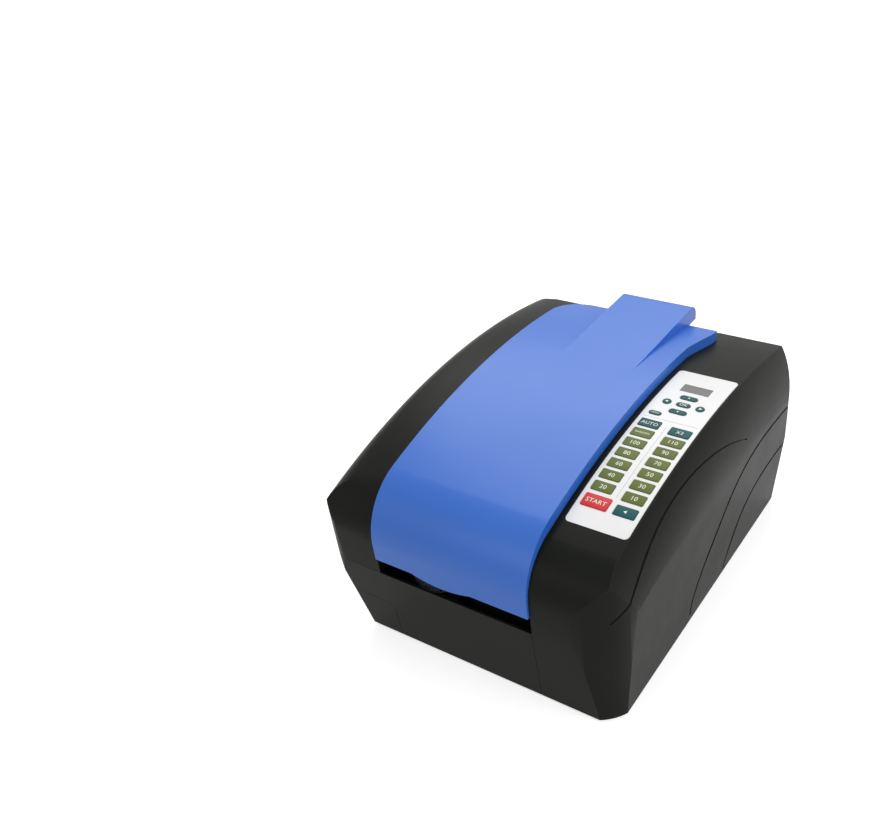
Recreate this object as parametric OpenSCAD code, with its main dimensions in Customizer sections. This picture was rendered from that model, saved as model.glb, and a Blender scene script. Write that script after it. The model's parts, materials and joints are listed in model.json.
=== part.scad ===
// Electric gummed tape dispenser for a packing counter: a moulded housing with a hinged lid,
// a keypad on the crown, and inside it a roll cradle, a tape feed, a cutter and a water tank.
// X runs across the machine (keypad side positive), Y from the tape exit to the back, Z up.

/* [Housing] */
// Widest part of the housing
body_w = 363; // [350:1:380]
// Distance of the left side from the middle line
left_side = 195; // [188:1:200]
// Length of the black housing, front face to back face
body_l = 452; // [440:1:500]
// Distance of the front face before the middle line
front_reach = 223; // [220:1:225]
// Height of the housing at its crest
body_h = 231.5; // [226:0.5:250]
// Distance of the right side wall's foot from the middle line
foot_right = 162; // [155:1:168]
// Distance of the left side wall's foot from the middle line
foot_left = 158; // [155:1:175]
// Radius of the long arc of the top
crown_r = 820; // [700:5:1200]
// Distance from the middle of the machine back to the crest of the arc
crest_y = 35; // [10:1:60]
// Radius of the nose above the tape exit
nose_r = 60; // [50:1:66]
// Distance of the right styling crease from the middle line
crease_right = 150; // [145:1:155]
// Distance of the left styling crease from the middle line
crease_left = 155; // [150:1:160]
// How far below the crown the right shoulder reaches full width
shoulder_drop = 75; // [50:1:90]
// Fall of the left shoulder in degrees
left_slope = 8; // [5:0.5:12]
// Radius between the left shoulder and the side wall
left_round_r = 28; // [28:1:30]
// Height where the right side wall starts to draw in
side_tuck_z = 150; // [120:1:170]
// Height where the left side wall starts to draw in
left_tuck_z = 170; // [150:1:175]
// Distance of the left side wall from the middle line at the tape exit's height
left_waist = 186; // [180:1:188]
// Plan radius of the front right corner
front_corner_r = 55; // [40:1:70]
// Plan radius of the front left corner
front_left_r = 25; // [15:1:35]
// Plan radius of the back corners
back_corner_r = 15; // [10:1:30]
// Set-back of the front panel at its foot
front_tuck = 8; // [4:1:14]
// Set-back of the rear wall at its foot
rear_tuck = 28; // [10:1:30]
// Height where the rear wall turns vertical
rear_waist_z = 110; // [90:1:130]
// Wall of the moulded shells
wall = 3; // [2:0.5:3.5]
// Gap shown at a seam between two shells
seam = 0.5; // [0.3:0.1:0.8]
// Height of the rubber feet
foot_h = 3; // [2:0.5:6]
// Radius of the rubber feet
foot_r = 12; // [8:1:16]
// Distance of the rubber feet from the middle line
foot_x = 118; // [100:1:130]
// Distance of the front feet behind the front face
front_foot = 50; // [35:1:70]
// Distance of the rear feet before the back face
rear_foot = 75; // [60:1:90]

/* [Lid] */
// Left edge of the lid
lid_left = -122; // [-124:1:-118]
// Right edge of the lid
lid_right = 72; // [70:1:73]
// How far the lid stands above the housing on its top
lid_rise = 12; // [10:0.5:13]
// How far the lid stands before the housing's front face
lid_front_rise = 3; // [2:0.5:5]
// Wall of the lid
lid_wall = 3; // [2:0.5:3.5]
// Depth of the lid's skirt below the housing's surface
skirt_depth = 12; // [8:1:14]
// Back edge of the lid
lid_back = 203; // [201:0.5:204]
// Plan radius of the lid's back left corner
lid_corner_r = 40; // [25:1:50]
// How far the lid widens to the right at the back
lid_flare = 8; // [0:1:9]
// Where the widening starts
flare_y = 140; // [100:5:160]
// Straight stretch of the lid's right edge before its back
lid_straight = 16; // [14:1:25]
// Running gap round the lid
lid_gap = 0.8; // [0.7:0.1:1.2]
// Top of the tape exit, the lid's lower front edge
slot_top = 127; // [120:1:132]
// Bottom of the tape exit, the front panel's top edge
slot_bottom = 104; // [95:1:106]
// Middle of the thumb tab under the lid's front edge
tab_x = -36; // [-45:1:-20]
// Width of the thumb tab
tab_w = 76; // [40:1:90]
// Depth of the thumb tab
tab_drop = 6; // [3:0.5:8]
// Thickness of the thumb tab
tab_t = 4; // [3:0.5:6]

/* [Lid hinge] */
// Distance of the hinge pin behind the middle of the machine
hinge_y = 207; // [206:0.5:209]
// Depth of the hinge pin below the crest of the housing
hinge_drop = 17.5; // [16:0.5:19]
// Radius of the hinge pin
hinge_pin_r = 2.5; // [2:0.1:3]
// Radial running clearance of pins and shafts
fit = 0.05; // [0.02:0.01:0.08]
// Left side of the hood over the hinge
hood_left = -50; // [-60:1:-45]
// Right side of the hood over the hinge
hood_right = 42; // [38:1:50]
// Radius of the hood's back edge
hood_r = 14; // [12:0.5:14]
// Where the hood rises out of the lid
hood_front = 60; // [50:5:100]
// Depth of the hood's flat top below the lid's crest
hood_drop = 0.5; // [0.2:0.1:1.5]
// Height of the hood's back rim above the hinge pin
hood_rim = 8; // [7:0.5:10]
// Thickness of the hinge lugs and ears
ear_t = 4; // [3:0.5:5]
// Depth of the hinge recess below the pin
recess_drop = 30; // [29:0.5:34]

/* [Front panel] */
// Left seam of the front panel's lower part
panel_seam_x = -116; // [-118:1:-100]
// Height of the step in the front panel
panel_step_z = 55; // [40:1:70]
// Where the front panel ends on the left side wall
panel_back_y = -170; // [-180:1:-160]

/* [Side grooves] */
// Width of the grooves on the side walls
groove_w = 5; // [3:0.5:7]
// Depth of the grooves
groove_depth = 1.2; // [0.6:0.1:1.6]
// Number of steps along each groove
groove_steps = 14; // [10:1:24]

/* [Keypad] */
// Middle of the keypad
pad_x = 113.5; // [112:0.5:115]
// Width of the keypad
pad_w = 69; // [66:0.5:70]
// Front edge of the keypad
pad_front = -158; // [-160:1:-155]
// Back edge of the keypad
pad_back = 106; // [104:1:115]
// Corner radius of the keypad
pad_corner_r = 5; // [2:0.5:8]
// Depth of the keypad's seat in the cover
seat_depth = 2.2; // [1.8:0.1:2.4]
// Gap round the keypad in its seat
seat_gap = 0.4; // [0.2:0.1:0.6]
// Thickness of the membrane circuit under the keys
circuit_t = 0.5; // [0.3:0.1:0.6]
// How far the overlay lies below the cover's surface
overlay_sink = 0.4; // [0.2:0.1:0.6]
// Travel of a key
key_travel = 0.4; // [0.2:0.1:0.5]
// How far a key stands above the overlay
key_proud = 0.8; // [0.6:0.1:1.5]
// Gap round each key
key_gap = 0.25; // [0.2:0.05:0.3]
// Distance of each key column from the middle of the keypad
column_x = 17.7; // [17:0.1:18.5]
// Pitch of the length keys
key_pitch = 17.1; // [16:0.1:17.2]
// Front key of the left column
left_column_y = -107.8; // [-109:0.1:-107]
// Front key of the right column
right_column_y = -110.5; // [-111:0.1:-109]
// Length of a key across the machine
key_w = 23.5; // [20:0.5:24]
// Length of a key along the machine
key_l = 12.8; // [10:0.2:13]
// Size of the start key across the machine
start_w = 29; // [24:0.5:30]
// Size of the start key along the machine
start_l = 16.5; // [12:0.5:17]
// Middle of the arrow keys
nav_y = 38.5; // [38:0.5:40]
// Distance of the upper and lower arrow keys from the middle one
nav_pitch = 14; // [12.5:0.5:14.5]
// Distance of the left and right arrow keys from the middle one
nav_reach = 19; // [17:0.5:20]
// Length of the upper and lower arrow keys
nav_w = 20; // [16:0.5:22]
// Depth of the upper and lower arrow keys
nav_l = 7.5; // [6:0.5:9]
// Diameter of the left and right arrow keys
nav_d = 9.5; // [8:0.5:11]
// Width of the menu key
menu_w = 14; // [10:0.5:15]
// Depth of the menu key
menu_l = 6.5; // [5:0.5:8]
// Width of the display
display_w = 33; // [28:0.5:40]
// Depth of the display
display_l = 15; // [12:0.5:17]
// Middle of the display
display_y = 71.5; // [70:0.5:75]

/* [Frame] */
// Inner face of the left frame plate
frame_left = -35; // [-37:0.5:-33]
// Inner face of the right frame plate
frame_right = 66; // [64:0.5:66]
// Thickness of the frame plates
plate_t = 3; // [2:0.5:3]
// Front end of the frame plates
frame_front = -130; // [-131:1:-128]
// Back end of the frame plates
frame_back = 185; // [175:1:190]
// Height of the frame plates at the feed
frame_h = 150; // [145:1:155]
// Height of the frame plates beside the roll
frame_low_h = 92; // [85:1:110]
// Radius of the tie rods
tie_r = 4; // [3:0.5:5]

/* [Roll cradle] */
// Middle of the tape roll along the machine
roll_y = 95; // [90:1:96]
// Largest roll of tape
roll_d = 200; // [150:5:202]
// Distance of each cradle roller from the middle of the roll
roller_reach = 52; // [49:1:56]
// Height of the cradle rollers' axles
roller_z = 22; // [21:0.5:24]
// Radius of the cradle rollers
roller_r = 12; // [10:0.5:12.5]
// Radius of the cradle shafts
shaft_r = 4; // [3:0.5:4.5]
// Height of the rod that carries the roll guides
guide_rod_z = 15; // [14.8:0.1:16]
// Radius of the hubs of the roll guides
guide_hub_r = 8; // [7:0.5:8.2]
// Thickness of the roll guides
guide_t = 2.5; // [2:0.5:3]
// Widest tape
tape_w = 80; // [60:1:82]
// Height of the roll guides
guide_h = 80; // [60:1:100]
// Length of a guide's hub beyond its plate
guide_hub_l = 7; // [5:0.5:7]

/* [Tape feed] */
// Position of the feed roller along the machine
feed_y = -60; // [-62:1:-58]
// Height of the feed roller's shaft
feed_z = 100; // [98:1:102]
// Radius of the feed roller
feed_r = 12; // [10:0.5:12]
// Radius of the pressure roller
pressure_r = 12; // [10:0.5:12]
// Gap between the two rollers, for the tape
nip = 0.4; // [0.3:0.1:0.8]
// Radius of the feed shaft
feed_shaft_r = 4; // [3:0.5:5]
// Radius of the pressure roller's shaft
pressure_shaft_r = 3; // [2.5:0.5:4]
// Tooth size of the gears
gear_module = 1.25; // [1:0.25:1.25]
// Teeth of the feed gear
gear_teeth = 40; // [40:4:44]
// Teeth of the motor's pinion
pinion_teeth = 16; // [14:1:18]
// Width of the gears
gear_w = 8; // [6:0.5:8]
// Radius of the motor
motor_r = 21; // [18:0.5:22]
// Length of the motor
motor_l = 50; // [40:1:52]

/* [Cutter] */
// Position of the cutting line along the machine
cut_y = -100; // [-102:1:-98]
// Height of the fixed blade's lower edge
cut_z = 114; // [113:0.5:116]
// Height of the fixed blade
blade_h = 12; // [8:0.5:14]
// Thickness of the blades
blade_t = 2; // [1.5:0.1:2.5]
// Stroke of the moving blade
blade_stroke = 8; // [7:0.5:9]
// Gap between the blades
blade_gap = 0.3; // [0.2:0.05:0.4]
// Radius of the cutter's plunger
plunger_r = 5; // [4:0.5:6]
// Width of the cutter's solenoid
solenoid_w = 30; // [24:1:32]
// Height of the cutter's solenoid
solenoid_h = 46; // [40:1:50]

/* [Water] */
// Left side of the water tank
tank_left = -118; // [-119:0.5:-116]
// Right side of the water tank
tank_right = 60; // [58:0.5:62]
// Front of the water tank
tank_front = -204; // [-205:0.5:-200]
// Back of the water tank
tank_back = -133; // [-136:0.5:-132]
// Height of the water tank
tank_h = 64; // [50:1:66]
// Wall of the water tank
tank_wall = 2.5; // [2:0.5:3]
// Radius of the water bottle
bottle_r = 33; // [28:0.5:34]
// Middle of the water bottle across the machine
bottle_x = -81; // [-82:0.5:-80]
// Height of the water bottle's body
bottle_h = 108; // [90:1:112]
// Radius of the bottle's neck
neck_r = 12; // [10:0.5:13]
// Radius of the bottle's cap
cap_r = 16; // [14.5:0.5:17]
// Height of the bottle's cap
cap_h = 16; // [12:0.5:18]
// Height of the top of the brushes
brush_top = 108; // [106:0.5:109]
// Thickness of a brush
brush_t = 10; // [8:0.5:12]
// Thickness of the weight plate that holds the tape on the brushes
weight_t = 8; // [5:0.5:9]
// Height of the weight plate's pivot
pivot_z = 130; // [128:0.5:132]
// Radius of the weight plate's pivot
pivot_r = 3; // [2.5:0.5:3.5]

/* [Electrics] */
// Middle of the power socket and switch across the machine
socket_x = 20; // [0:1:22]
// Distance of the power socket up the sloping rear wall
socket_up = 52; // [45:1:60]
// Width of the power socket's housing
socket_w = 60; // [56:1:64]
// Height of the power socket's housing
socket_h = 26; // [24:1:30]
// Depth of the power socket's housing
socket_depth = 24; // [20:1:28]
// Width of the rocker
rocker_w = 14; // [12:0.5:15]
// Height of the rocker
rocker_h = 20; // [18:0.5:22]
// Tilt of the rocker from its middle
rocker_tilt = 8; // [5:1:10]
// Radius of the rocker's pivot pin
rocker_pin_r = 1.5; // [1:0.1:2]
// Depth of the pivot pin behind the rear wall
rocker_pin_depth = 4; // [3:0.5:5]
// Distance of the rocker from the right end of its housing
rocker_inset = 6; // [5:0.5:8]

/* [Fasteners] */
// Radius of a cover screw
screw_r = 2; // [1.5:0.25:2.5]
// Radius of a screw head
screw_head_r = 4; // [3:0.25:5]
// Distance of the screws from the middle of the machine
screw_x = 147; // [145:0.5:149]
// Front pair of screws
screw_front_y = -118; // [-125:1:-100]
// Back pair of screws
screw_back_y = 150; // [130:1:155]

/* [Hidden] */
$fn = 96;
arc_fn = 720;                             // facets of the long arc
far = 600;                                // larger than the machine
right_side = body_w - left_side;          // right side from the middle line
front_y = -front_reach;                   // front face of the black housing
back_y = front_y + body_l;                // back face
arc_z = body_h - crown_r;                 // axis of the long arc
origin = [(left_side - right_side) / 2, (front_reach + lid_front_rise - back_y) / 2, 0];
nose_y = front_y + nose_r;
nose_z = arc_z + sqrt(pow(crown_r - nose_r, 2) - pow(crest_y - nose_y, 2));
nose_dir = [(nose_y - crest_y) / (crown_r - nose_r), (nose_z - arc_z) / (crown_r - nose_r)];
floor_z = foot_h + wall;                  // top of the base pan
shoulder_w = right_side - crease_right;
shoulder_r = (pow(shoulder_w, 2) + pow(shoulder_drop, 2)) / (2 * shoulder_w);
left_round_x = left_round_r - left_side;  // middle of the left rounding, and its depth below the crown
left_round_drop = left_round_r / cos(left_slope) - (left_round_x + crease_left) * tan(left_slope);
corner_ease = 0.2;                        // keeps the floor's corners inside the walls
side_lap = 1;                             // the shoulder alone sets the left side
rear_lean = atan(rear_tuck / (rear_waist_z - foot_h));
hood_y = back_y - 1 - hood_r;
hinge_z = body_h - hinge_drop;
hood_z = body_h + lid_rise - hood_drop - hood_r;
hood_rim_z = hinge_z + hood_rim;
lid_front = front_y - lid_front_rise;     // front of the lid, and the middle of its nose
lid_nose_y = lid_front + nose_r + lid_rise;
lid_nose_z = arc_z + sqrt(pow(crown_r - nose_r, 2) - pow(crest_y - lid_nose_y, 2));
lid_nose_dir = [(lid_nose_y - crest_y) / (crown_r - nose_r), (lid_nose_z - arc_z) / (crown_r - nose_r)];
shelf_z = hinge_z - recess_drop;
frame_mid = (frame_left + frame_right) / 2;
guide_x0 = frame_mid - tape_w / 2;
guide_x1 = frame_mid + tape_w / 2;
gear_pitch_r = gear_module * gear_teeth / 2;
pinion_pitch_r = gear_module * pinion_teeth / 2;
pinion_z = feed_z - gear_pitch_r - pinion_pitch_r;
pressure_z = feed_z + feed_r + nip + pressure_r;
gear_x = frame_right + plate_t + 3;
motor_x = gear_x + gear_w + 4;
bottle_y = (tank_front + tank_back) / 2;
tank_top = floor_z + tank_h;
pivot_y = frame_front + 8;
solenoid_x = frame_mid;
blade_rest_z = cut_z - 4;
overlay_bottom = seat_depth - circuit_t;
start_y = left_column_y - 19.5;
feed_key_y = right_column_y - 18.4;
rocker_x = socket_w / 2 - rocker_inset - rocker_w;

// Keys: name, middle across, middle along, width, length, corner radius
left_names = ["key_20", "key_40", "key_60", "key_80", "key_100", "key_random", "key_auto"];
right_names = ["key_10", "key_30", "key_50", "key_70", "key_90", "key_110", "key_x2"];
nav_keys = [
    ["key_up", 0, nav_y + nav_pitch, nav_w, nav_l, nav_l / 2 - 0.05],
    ["key_ok", 0, nav_y, nav_w * 0.8, nav_l, nav_l / 2 - 0.05],
    ["key_down", 0, nav_y - nav_pitch, nav_w, nav_l, nav_l / 2 - 0.05],
    ["key_left", -nav_reach, nav_y, nav_d, nav_d, nav_d / 2 - 0.05],
    ["key_right", nav_reach, nav_y, nav_d, nav_d, nav_d / 2 - 0.05],
    ["key_menu", -nav_reach - 2, nav_y - 24.5, menu_w, menu_l, menu_l / 2 - 0.05]
];
KEYS = concat(
    [for (i = [0:6]) [left_names[i], -column_x, left_column_y + i * key_pitch, key_w, key_l, 1.5]],
    [for (i = [0:6]) [right_names[i], column_x, right_column_y + i * key_pitch, key_w, key_l, 1.5]],
    [["key_start", -column_x + 2.5, start_y, start_w, start_l, 2]],
    [["key_feed", column_x, feed_key_y, key_w, key_l, 1.5]],
    nav_keys
);

// ---- outline of the housing ----

// Lengthwise profile, drawn in by i: the long arc, the nose and the leaning front and back.
// The back runs on past the plan outline, which cuts it at the waist.
module side_profile(i, low) {
    intersection() {
        translate([crest_y, arc_z]) circle(r = crown_r - i, $fn = arc_fn);
        union() {
            translate([nose_y, nose_z]) circle(r = nose_r - i);
            polygon([
                [front_y + front_tuck + i, foot_h + low],
                [front_y + i, slot_bottom],
                [front_y + i, nose_z],
                [nose_y, nose_z],
                [nose_y, nose_z] + nose_dir * 2 * nose_r,
                [back_y + rear_tuck - i, body_h + nose_r],
                [back_y + rear_tuck - i, 2 * rear_waist_z - foot_h - low],
                [back_y - rear_tuck - i, foot_h + low]
            ]);
        }
    }
}

// The profile as a bar right across the machine
module profile_bar(i, low) {
    rotate([90, 0, 90]) linear_extrude(far, center = true) side_profile(i, low);
}

// Plan outline with its corner radii
module plan(i) {
    x0 = -left_side - side_lap + i;
    x1 = right_side - i;
    y0 = front_y + i;
    y1 = back_y - i;
    rl = front_left_r - i;
    rr = front_corner_r - i;
    rb = back_corner_r - i;
    polygon([
        [x0, y0 + rl], [x0 + rl, y0], [x1 - rr, y0], [x1, y0 + rr],
        [x1, y1 - rb], [x1 - rb, y1], [x0 + rb, y1], [x0, y1 - rb]
    ]);
    translate([x0 + rl, y0 + rl]) circle(r = rl);
    translate([x1 - rr, y0 + rr]) circle(r = rr);
    translate([x1 - rb, y1 - rb]) circle(r = rb);
    translate([x0 + rb, y1 - rb]) circle(r = rb);
}

// The two shoulders: a section turned about the long arc's axis, higher than the arc between the creases
module shoulders(i) {
    lap = 10;
    r = left_round_r - i;
    translate([0, crest_y, arc_z]) rotate([0, 90, 0]) rotate_extrude($fn = arc_fn) {
        // right: one large radius from the crease to the side wall
        translate([0, -lap]) square([crown_r - shoulder_drop, right_side - i + lap]);
        translate([crown_r - shoulder_drop, right_side - shoulder_r])
            circle(r = shoulder_r - i, $fn = arc_fn);
        // left: a slope from the crease, then a rounding into the side wall
        translate([crown_r - left_round_drop, left_round_x]) circle(r = r);
        polygon([
            [0, -left_side + i], [crown_r - left_round_drop, -left_side + i],
            [crown_r - left_round_drop, left_round_x],
            [crown_r - left_round_drop + r * cos(left_slope), left_round_x - r * sin(left_slope)],
            [crown_r + (crease_left + lap) * tan(left_slope) - i / cos(left_slope), lap], [0, lap]
        ]);
    }
}

// Side walls that draw in towards the foot
module tuck(i) {
    rotate([90, 0, 0]) linear_extrude(far, center = true) polygon([
        [-foot_left + i, 0], [foot_right - i, 0],
        [right_side - i, side_tuck_z], [right_side - i, far],
        [-left_side - side_lap + i, far],
        [-left_side - side_lap + i,
         left_tuck_z + side_lap * (left_tuck_z - slot_bottom) / (left_side - left_waist)],
        [-left_waist + i, slot_bottom]
    ]);
}

// The housing's volume, drawn in by i
module body_solid(i, low) {
    intersection() {
        profile_bar(i, low);
        translate([0, 0, -far / 2]) linear_extrude(far) plan(i);
        shoulders(i);
        tuck(i);
    }
}

// Outer walls and top, open below
module wall_shell() {
    difference() {
        body_solid(0, 0);
        intersection() {
            profile_bar(wall, wall);
            translate([0, 0, -far / 2]) linear_extrude(far) plan(wall);
            shoulders(wall);
            tuck(wall);
        }
        // the floor is the base pan's
        translate([0, 0, foot_h - 1]) linear_extrude(wall + 1.01) plan_foot(wall);
    }
}

// Plan of the room inside the walls at floor level
module plan_foot(i) {
    intersection() {
        plan(i + corner_ease);
        translate([-foot_left + i, front_y + front_tuck + i])
            square([foot_left + foot_right - 2 * i, body_l - front_tuck - rear_tuck - 2 * i]);
    }
}

// Plan of the lid, grown by c
module lid_plan(c) {
    polygon([
        [lid_left - c, -far], [lid_right + c, -far], [lid_right + c, flare_y],
        [lid_right + lid_flare + c, lid_back - lid_straight], [lid_right + lid_flare + c, lid_back + c],
        [lid_left + lid_corner_r, lid_back + c],
        [lid_left + lid_corner_r, lid_back - lid_corner_r], [lid_left - c, lid_back - lid_corner_r]
    ]);
    translate([lid_left + lid_corner_r, lid_back - lid_corner_r]) circle(r = lid_corner_r + c);
}

// The opening under the lid, from the tape exit up
module lid_opening(c) {
    translate([0, 0, slot_bottom]) linear_extrude(far) lid_plan(c);
}

// A block given by its lowest and highest corners
module block(a, b) {
    translate(a) cube(b - a);
}

// A bar of a Y-Z outline from x0 to x1
module across(x0, x1) {
    translate([x0, 0, 0]) rotate([90, 0, 90]) linear_extrude(x1 - x0) children();
}

// A round bar along X
module rod(x0, x1, y, z, r) {
    translate([x0, y, z]) rotate([0, 90, 0]) cylinder(r = r, h = x1 - x0);
}

// Places children on the crown: local Z is the surface's normal
module on_crown(x, y) {
    translate([x, crest_y, arc_z]) rotate([-asin((y - crest_y) / crown_r), 0, 0])
        translate([0, 0, crown_r]) children();
}

// Places children on the sloping rear wall: local Y points out of it
module on_rear(x, up) {
    translate([x, back_y - rear_tuck, foot_h]) rotate([-rear_lean, 0, 0])
        translate([0, 0, up]) children();
}

// ---- side grooves ----

function bezier(p, t) = pow(1 - t, 3) * p[0] + 3 * pow(1 - t, 2) * t * p[1]
    + 3 * (1 - t) * t * t * p[2] + pow(t, 3) * p[3];
function bezier_dir(p, t) = 3 * pow(1 - t, 2) * (p[1] - p[0]) + 6 * (1 - t) * t * (p[2] - p[1])
    + 3 * t * t * (p[3] - p[2]);
function across_dir(d) = [-d[1], d[0]] / norm(d);
function groove_edge(p, side, w0, w1) = [for (k = [0:groove_steps]) let (t = k / groove_steps)
    bezier(p, t) + side * (w0 + (w1 - w0) * t) / 2 * across_dir(bezier_dir(p, t))];
function reversed(v) = [for (k = [len(v) - 1:-1:0]) v[k]];

// Curves of the grooves in Y and Z: [control points, width at the start, width at the end]
GROOVES = [
    [[[88, 171], [30, 208], [-75, 226], [-150, 182]], 0.3, 1],
    [[[-150, 182], [-178, 165], [-196, 150], [-206, 141]], 1, 0.5],
    [[[226, 134], [92, 152], [66, 132], [18, 90]], 0.6, 1],
    [[[18, 90], [-22, 58], [-43, 36], [-43, 12]], 1, 0.6],
    [[[218, 79], [130, 86], [96, 72], [70, 40]], 0.6, 1],
    [[[70, 40], [62, 30], [52, 20], [47, 7]], 1, 0.5]
];

module groove_bands() {
    for (g = GROOVES) {
        polygon(concat(groove_edge(g[0], 1, g[1] * groove_w, g[2] * groove_w),
                       reversed(groove_edge(g[0], -1, g[1] * groove_w, g[2] * groove_w))));
    }
}

// Shallow grooves in one side wall; side is 1 on the right and -1 on the left
module grooves(side) {
    difference() {
        across(side > 0 ? right_side - 30 : -far / 2, side > 0 ? far / 2 : -left_side + 45) groove_bands();
        body_solid(groove_depth, 0);
    }
}

// ---- shells ----

// Down-turned rim of the housing along the lid's opening
module opening_rim() {
    intersection() {
        difference() {
            body_solid(0, 0);
            profile_bar(skirt_depth + 6, 0);
        }
        difference() {
            lid_opening(lid_gap + wall);
            lid_opening(lid_gap);
        }
        translate([0, 0, slot_bottom + seam]) linear_extrude(far) translate([-far / 2, -far / 2]) square(far);
    }
}

// Screw post that hangs from a cover's side wall down to the base pan
module screw_post(side, y, z_top, web_z) {
    difference() {
        union() {
            translate([side * screw_x, y, floor_z]) cylinder(r = 3 * screw_r, h = z_top - floor_z);
            intersection() {
                body_solid(wall / 2, 0);
                block([side > 0 ? screw_x : -left_side, y - screw_r, web_z],
                      [side > 0 ? right_side : -screw_x, y + screw_r, z_top]);
            }
        }
        translate([side * screw_x, y, floor_z - 1]) cylinder(r = screw_r + fit, h = 21);
    }
}

module right_cover() {
    color([0.05, 0.055, 0.05]) {
        difference() {
            union() {
                intersection() {
                    wall_shell();
                    block([lid_right + seam / 2, -far / 2, 0], [far / 2, far / 2, far / 2]);
                }
                intersection() {
                    opening_rim();
                    block([lid_right + seam / 2, -far / 2, 0], [far / 2, far / 2, far / 2]);
                }
                for (y = [screw_front_y, screw_back_y]) {
                    screw_post(1, y, floor_z + 30, floor_z);
                }
            }
            lid_opening(lid_gap);
            pad_seat();
            grooves(1);
        }
    }
}

module left_cover() {
    color([0.05, 0.055, 0.05]) {
        difference() {
            union() {
                intersection() {
                    union() {
                        wall_shell();
                        opening_rim();
                    }
                    block([-far / 2, -far / 2, slot_bottom + seam / 2],
                          [lid_left + lid_corner_r - seam / 2, far / 2, far / 2]);
                }
                for (y = [screw_front_y, screw_back_y]) {
                    screw_post(-1, y, slot_bottom + 40, slot_bottom + seam);
                }
            }
            lid_opening(lid_gap);
            grooves(-1);
        }
    }
}

// Room that the front panel takes, with its step at the lower left
module panel_region(c) {
    difference() {
        block([-far / 2, -far / 2, 0],
              [lid_right - seam / 2 + c, panel_back_y + c, slot_bottom - seam / 2 + c]);
        block([-far / 2, -far / 2, -1], [panel_seam_x - c, panel_back_y + 1 + c, panel_step_z - c]);
    }
}

module front_panel() {
    color([0.06, 0.065, 0.06]) intersection() {
        wall_shell();
        panel_region(0);
    }
}

module base_pan() {
    color([0.05, 0.055, 0.05]) {
        difference() {
            union() {
                translate([0, 0, foot_h]) linear_extrude(wall) plan_foot(wall + seam);
                intersection() {
                    difference() {
                        union() {
                            wall_shell();
                            translate([0, 0, foot_h]) linear_extrude(wall) plan_foot(wall / 2);
                        }
                        panel_region(seam);
                    }
                    union() {
                        block([-far / 2, -far / 2, 0], [panel_seam_x - seam, 0, slot_bottom - seam / 2]);
                        block([-far / 2, -1, 0],
                              [lid_left + lid_corner_r - seam / 2, far / 2, slot_bottom - seam / 2]);
                    }
                }
            }
            for (sx = [-1, 1]) {
                for (y = [screw_front_y, screw_back_y]) {
                    translate([sx * screw_x, y, foot_h - 1]) cylinder(r = screw_r + 0.3, h = wall + 2);
                    translate([sx * screw_x, y, foot_h - 1]) cylinder(r = screw_head_r + 0.3, h = 2.5);
                }
            }
            grooves(-1);
        }
    }
}

module rubber_feet() {
    color([0.03, 0.03, 0.03]) for (sx = [-1, 1]) {
        for (y = [front_y + front_foot, back_y - rear_foot]) {
            translate([sx * foot_x, y, 0]) cylinder(r = foot_r, h = foot_h);
        }
    }
}

// Recess that the hood swings into, under the hinge
module hinge_recess() {
    block([hood_left - 3, lid_back - 1, shelf_z], [hood_right + 3, far / 2, far / 2]);
}

module rear_panel() {
    color([0.05, 0.055, 0.05]) {
        difference() {
            intersection() {
                wall_shell();
                block([lid_left + lid_corner_r + seam / 2, roll_y + 60, 0],
                      [lid_right - seam / 2, far / 2, far / 2]);
            }
            lid_opening(lid_gap);
            hinge_recess();
            on_rear(socket_x, socket_up)
                block([-socket_w / 2 - 0.2, -2 * wall, -socket_h / 2 - 0.2],
                      [socket_w / 2 + 0.2, wall, socket_h / 2 + 0.2]);
        }
        block([hood_left - 3, frame_back + 3, shelf_z - wall], [hood_right + 3, back_y - 1, shelf_z]);
        // cheeks of the hinge recess
        for (x = [hood_left - 3 - wall, hood_right + 3]) {
            intersection() {
                body_solid(1, 0);
                block([x, lid_back + lid_gap, shelf_z - wall], [x + wall, back_y - 1, far / 2]);
            }
        }
    }
}

// ---- lid ----

// Lengthwise profile of the lid, drawn in by i; it stands less proud at the nose than on top
module lid_profile(i) {
    intersection() {
        translate([crest_y, arc_z]) circle(r = crown_r + lid_rise - i, $fn = arc_fn);
        union() {
            translate([lid_nose_y, lid_nose_z]) circle(r = nose_r + lid_rise - i);
            polygon([
                [lid_front + i, 0], [lid_front + i, lid_nose_z], [lid_nose_y, lid_nose_z],
                [lid_nose_y, lid_nose_z] + lid_nose_dir * 2 * nose_r,
                [far / 2, body_h + nose_r], [far / 2, 0]
            ]);
        }
    }
}

module lid_bar(i) {
    rotate([90, 0, 90]) linear_extrude(far, center = true) lid_profile(i);
}

function lid_surface(y) = arc_z + sqrt(pow(crown_r + lid_rise, 2) - pow(y - crest_y, 2));

module hood_profile(i) {
    intersection() {
        translate([hood_y, hood_z]) circle(r = hood_r - i);
        translate([0, hood_rim_z - i]) square(far);
    }
    polygon([
        [hood_front + i, lid_surface(hood_front) - 2 * lid_wall],
        [hood_front + i, lid_surface(hood_front) - i],
        [hood_y - 2, hood_z + hood_r - i],
        [hood_y, hood_z + hood_r - i],
        [hood_y, hood_z],
        [hood_y + hood_r - i, hood_z],
        [hood_y + hood_r - i, hood_rim_z - i],
        [lid_back - i, hood_rim_z - i],
        [lid_back - i, hood_rim_z - 2 * lid_wall]
    ]);
}

module lid_lug(x) {
    difference() {
        across(x, x + ear_t) {
            translate([hinge_y, hinge_z]) circle(r = 2.4 * hinge_pin_r);
            translate([hinge_y - 2.4 * hinge_pin_r, hinge_z])
                square([4.8 * hinge_pin_r, hood_z + 6 - hinge_z]);
        }
        rod(x - 1, x + ear_t + 1, hinge_y, hinge_z, hinge_pin_r + fit);
    }
}

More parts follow.
